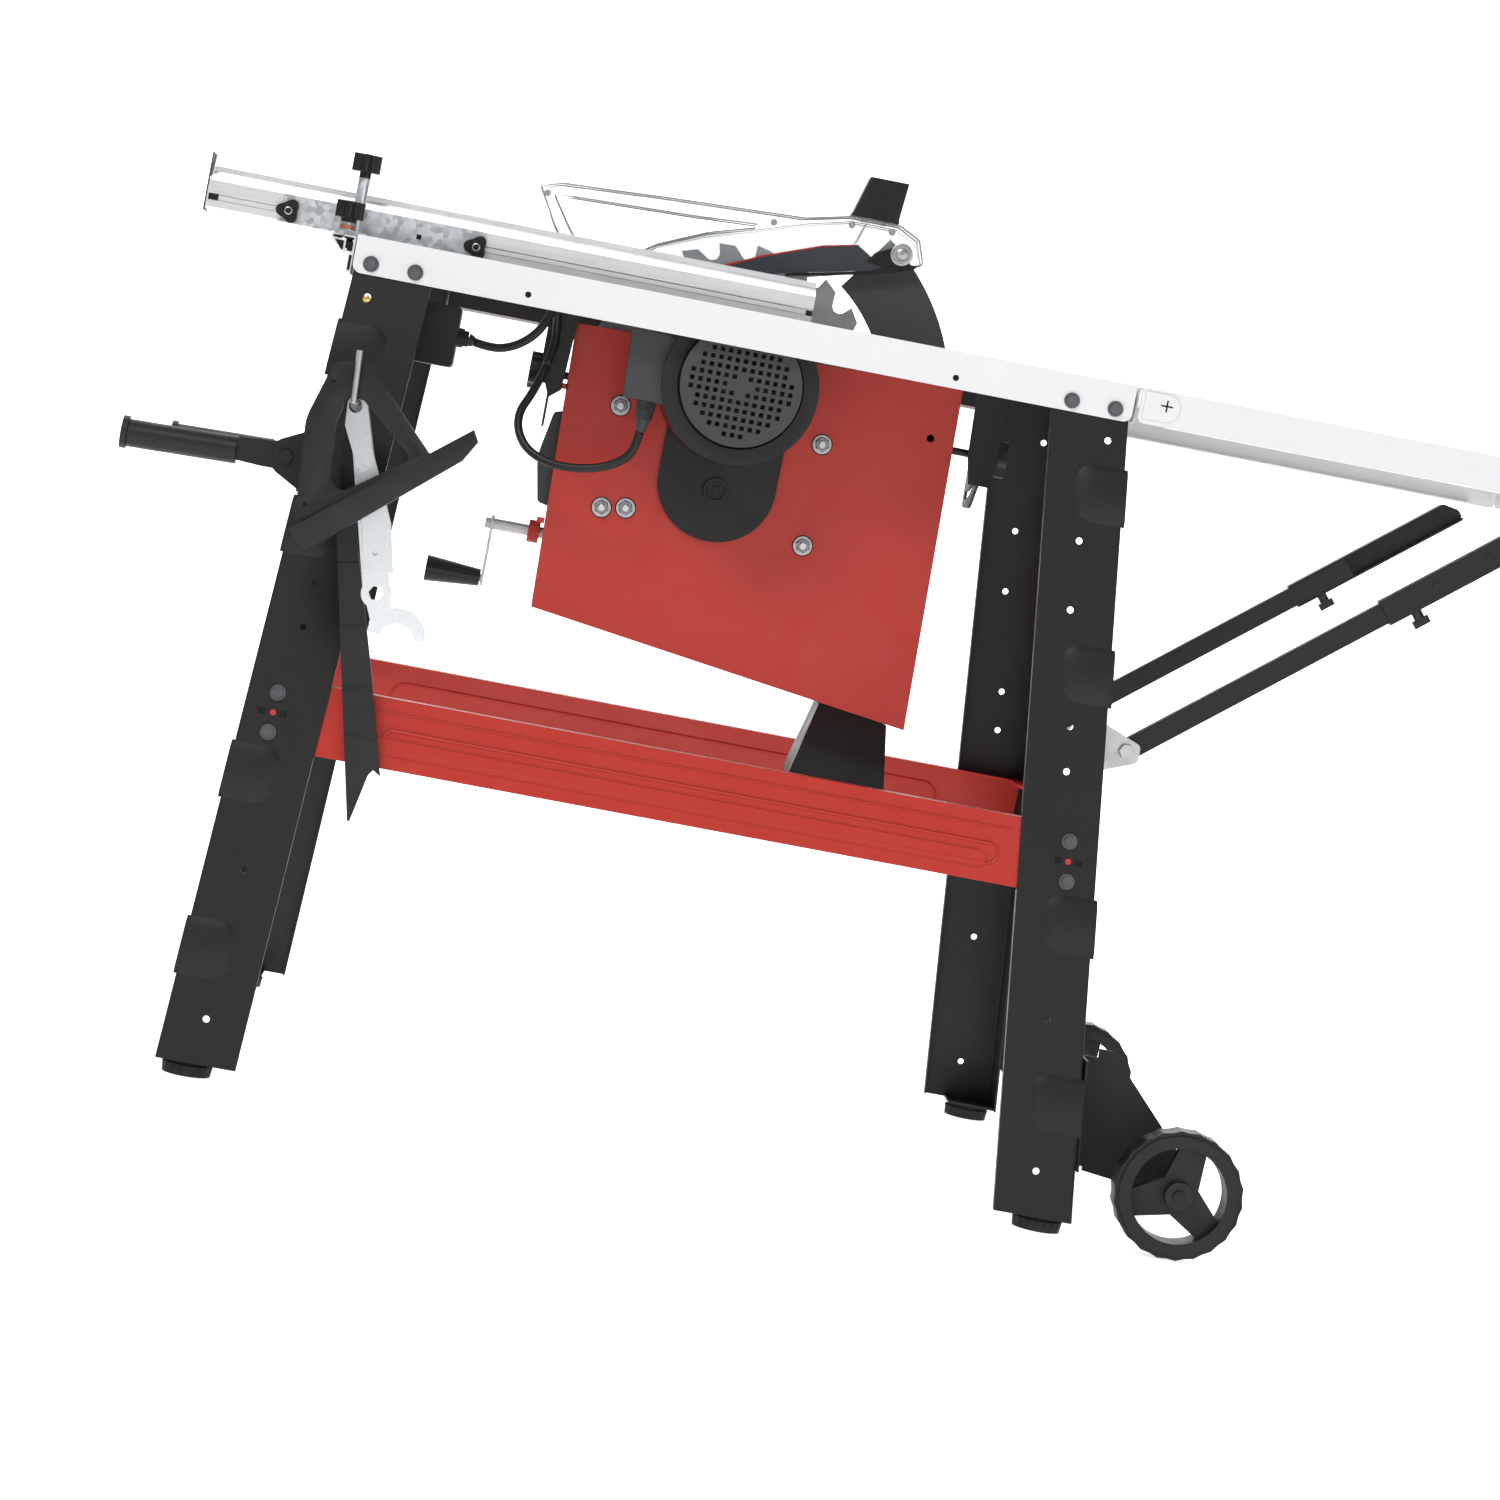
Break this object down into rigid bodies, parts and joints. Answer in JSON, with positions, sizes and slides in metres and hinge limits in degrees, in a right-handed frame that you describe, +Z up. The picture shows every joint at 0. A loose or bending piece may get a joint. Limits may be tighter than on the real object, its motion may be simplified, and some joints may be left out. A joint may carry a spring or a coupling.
{
  "type": "table saw on stand",
  "caption": "Table saw with tilting, rising motor unit and clear blade guard on a splayed steel stand with fence, extension table on struts, transport wheels and fold-out handles.",
  "frame": {"origin": "middle of the object's footprint, on the floor under the feet", "axes": "+X feed direction towards the extension table, +Y the operator's left, +Z up"},
  "size_m": [1.502, 0.846, 1.028],
  "materials": {
    "table_sheet": "light grey powder coat on sheet steel",
    "insert": "light grey coated steel",
    "aluminium": "anodised extrusion",
    "black_powder": "black textured powder coat",
    "red_paint": "red powder coat",
    "zinc": "zinc plated",
    "galvanised": "galvanised sheet",
    "steel": "machined steel",
    "blade_steel": "ground blade steel",
    "knife_coat": "dark grey coating",
    "black_plastic": "moulded black plastic",
    "grey_plastic": "moulded dark grey plastic",
    "motor_black": "black painted casting",
    "clear_guard": "clear polycarbonate",
    "rubber": "black rubber",
    "cable_rubber": "black cable sheath",
    "green_button": "green moulded plastic",
    "red_button": "red moulded plastic",
    "laminations": "stacked steel laminations"
  },
  "bodies": {
    "stand": {"table_top": "table_sheet", "table_insert": "insert", "front_guide_rail": "aluminium", "right_front_leg": "black_powder", "left_front_leg": "black_powder", "right_rear_leg": "black_powder", "left_rear_leg": "black_powder", "rubber_feet": "rubber", "side_rails": "red_paint", "cross_rails": "red_paint", "frame_bolts": "zinc", "tilt_brackets": "black_powder", "switch_box": "black_plastic", "wheel_carrier": "black_powder", "handle_brackets": "black_powder", "tool_hook": "zinc", "extension_fittings": "zinc", "switch_cable": "cable_rubber"},
    "start_button": {"start_button": "green_button"},
    "stop_button": {"stop_button": "red_button"},
    "right_wheel": {"right_wheel": "black_plastic"},
    "left_wheel": {"left_wheel": "black_plastic"},
    "right_handle": {"right_handle": "black_plastic"},
    "left_handle": {"left_handle": "black_plastic"},
    "extension": {"extension_table": "table_sheet"},
    "strut_lower": {"strut_tubes": "black_powder"},
    "strut_upper": {"strut_channels": "black_powder", "wing_screws": "black_plastic"},
    "tilt_unit": {"saw_housing": "red_paint", "housing_cover": "red_paint", "guide_columns": "zinc", "dust_chute": "black_plastic", "crank_cover": "grey_plastic", "motor_cable": "cable_rubber"},
    "front_lock_knob": {"front_lock_knob": "black_plastic"},
    "rear_lock_knob": {"rear_lock_knob": "black_plastic"},
    "crank": {"height_crank": "zinc"},
    "crank_grip": {"crank_grip": "black_plastic"},
    "lead_screw": {"lead_screw": "steel"},
    "lift_unit": {"motor_carriage": "motor_black", "motor_housing": "motor_black", "fan_cover": "grey_plastic", "stator": "laminations", "terminal_box": "black_plastic", "slot_cover": "black_plastic", "riving_knife": "knife_coat", "guard_bolt": "zinc"},
    "arbor": {"rotor_and_fan": "steel", "saw_blade": "blade_steel"},
    "guard": {"blade_guard": "clear_guard", "dust_adapter": "black_plastic"},
    "fence_carrier": {"fence_bracket": "galvanised"},
    "fence": {"rip_fence": "aluminium"},
    "front_fence_nut": {"front_fence_nut": "black_plastic"},
    "rear_fence_nut": {"rear_fence_nut": "black_plastic"},
    "clamp_knob": {"clamp_knob": "black_plastic"},
    "post_knob": {"post_knob": "black_plastic"},
    "push_block": {"push_block": "black_plastic"},
    "push_stick": {"push_stick": "black_plastic"},
    "spanners": {"spanners": "galvanised"}
  },
  "joints": [
    {"name": "bevel_tilt", "type": "hinge", "parent": "stand", "child": "tilt_unit", "pos_m": [-0.155, 0, 0.85], "axis": [1, 0, 0], "range_deg": [0, 45], "deforming": ["switch_cable"]},
    {"name": "crank_turn", "type": "hinge", "parent": "tilt_unit", "child": "crank", "pos_m": [-0.355, -0.05, 0.587], "axis": [1, 0, 0], "range_deg": [0, 1980]},
    {"name": "blade_height", "type": "slide", "parent": "tilt_unit", "child": "lift_unit", "axis": [0, 0, -1], "range_m": [0, 0.055], "deforming": ["motor_cable"]},
    {"name": "lead_screw_turn", "type": "hinge", "parent": "tilt_unit", "child": "lead_screw", "pos_m": [-0.21, -0.05, 0.65], "axis": [0, 0, 1], "range_deg": [-1981, 1981]},
    {"name": "crank_grip_spin", "type": "hinge", "parent": "crank", "child": "crank_grip", "pos_m": [-0.405, -0.05, 0.528], "axis": [1, 0, 0], "continuous": true},
    {"name": "blade_spin", "type": "hinge", "parent": "lift_unit", "child": "arbor", "pos_m": [-0.149, 0, 0.774], "axis": [0, 1, 0], "continuous": true},
    {"name": "guard_follow_height", "type": "hinge", "parent": "lift_unit", "child": "guard", "pos_m": [0.003, 0, 0.95], "axis": [0, 1, 0], "range_deg": [0, 11.5]},
    {"name": "front_lock_turn", "type": "hinge", "parent": "tilt_unit", "child": "front_lock_knob", "pos_m": [-0.355, -0.1, 0.754], "axis": [1, 0, 0], "range_deg": [-180, 0]},
    {"name": "rear_lock_turn", "type": "hinge", "parent": "tilt_unit", "child": "rear_lock_knob", "pos_m": [0.135, -0.1, 0.754], "axis": [1, 0, 0], "range_deg": [0, 180]},
    {"name": "fence_slide", "type": "slide", "parent": "stand", "child": "fence_carrier", "axis": [0, 1, 0], "range_m": [-0.045, 0.035]},
    {"name": "fence_reach", "type": "slide", "parent": "fence_carrier", "child": "fence", "axis": [1, 0, 0], "range_m": [-0.15, 0.075]},
    {"name": "clamp_knob_turn", "type": "hinge", "parent": "fence_carrier", "child": "clamp_knob", "pos_m": [-0.57, -0.22, 0.866], "axis": [0, 0, 1], "range_deg": [0, 180]},
    {"name": "post_knob_turn", "type": "hinge", "parent": "fence_carrier", "child": "post_knob", "pos_m": [-0.563, -0.197, 0.916], "axis": [0, 0, 1], "range_deg": [0, 180]},
    {"name": "front_fence_nut_turn", "type": "hinge", "parent": "fence_carrier", "child": "front_fence_nut", "pos_m": [-0.633, -0.195, 0.863], "axis": [0, -1, 0], "range_deg": [0, 180]},
    {"name": "rear_fence_nut_turn", "type": "hinge", "parent": "fence_carrier", "child": "rear_fence_nut", "pos_m": [-0.439, -0.195, 0.863], "axis": [0, -1, 0], "range_deg": [0, 180]},
    {"name": "extension_level", "type": "hinge", "parent": "stand", "child": "extension", "pos_m": [0.248, 0, 0.844], "axis": [0, 1, 0], "range_deg": [-1, 3]},
    {"name": "strut_swing", "type": "hinge", "parent": "stand", "child": "strut_lower", "pos_m": [0.306, 0, 0.484], "axis": [0, 1, 0], "range_deg": [-3, 4]},
    {"name": "strut_telescope", "type": "slide", "parent": "strut_lower", "child": "strut_upper", "axis": [0.7804, 0, 0.6252], "range_m": [-0.03, 0.03]},
    {"name": "right_wheel_spin", "type": "hinge", "parent": "stand", "child": "right_wheel", "pos_m": [0.422, 0, 0.066], "axis": [0, 1, 0], "continuous": true},
    {"name": "left_wheel_spin", "type": "hinge", "parent": "stand", "child": "left_wheel", "pos_m": [0.422, 0, 0.066], "axis": [0, 1, 0], "continuous": true},
    {"name": "right_handle_fold", "type": "hinge", "parent": "stand", "child": "right_handle", "pos_m": [-0.585, -0.3286, 0.618], "axis": [0, 1, 0], "range_deg": [-84, 0]},
    {"name": "left_handle_fold", "type": "hinge", "parent": "stand", "child": "left_handle", "pos_m": [-0.585, 0.3286, 0.618], "axis": [0, 1, 0], "range_deg": [-84, 0]},
    {"name": "start_button_push", "type": "slide", "parent": "stand", "child": "start_button", "axis": [1, 0, 0], "range_m": [0, 0.003], "stiffness_N_per_m": 600},
    {"name": "stop_button_push", "type": "slide", "parent": "stand", "child": "stop_button", "axis": [1, 0, 0], "range_m": [0, 0.004], "stiffness_N_per_m": 600},
    {"name": "push_block_lift", "type": "slide", "parent": "stand", "child": "push_block", "axis": [0, 0, 1], "range_m": [0, 0.06]},
    {"name": "push_stick_swing", "type": "hinge", "parent": "stand", "child": "push_stick", "pos_m": [-0.522, -0.353, 0.684], "axis": [0, -1, 0], "range_deg": [0, 15]},
    {"name": "spanners_swing", "type": "hinge", "parent": "stand", "child": "spanners", "pos_m": [-0.522, -0.359, 0.684], "axis": [0, -1, 0], "range_deg": [0, 15]}
  ],
  "couplings": [
    {"joint": "crank_turn", "follows": "blade_height", "rad_per_m": 628.3},
    {"joint": "lead_screw_turn", "follows": "blade_height", "rad_per_m": 628.3},
    {"joint": "guard_follow_height", "follows": "blade_height", "rad_per_m": 3.4907},
    {"joint": "strut_swing", "follows": "extension_level", "ratio": 0.643},
    {"joint": "strut_telescope", "follows": "extension_level", "m_per_rad": -0.307}
  ]
}
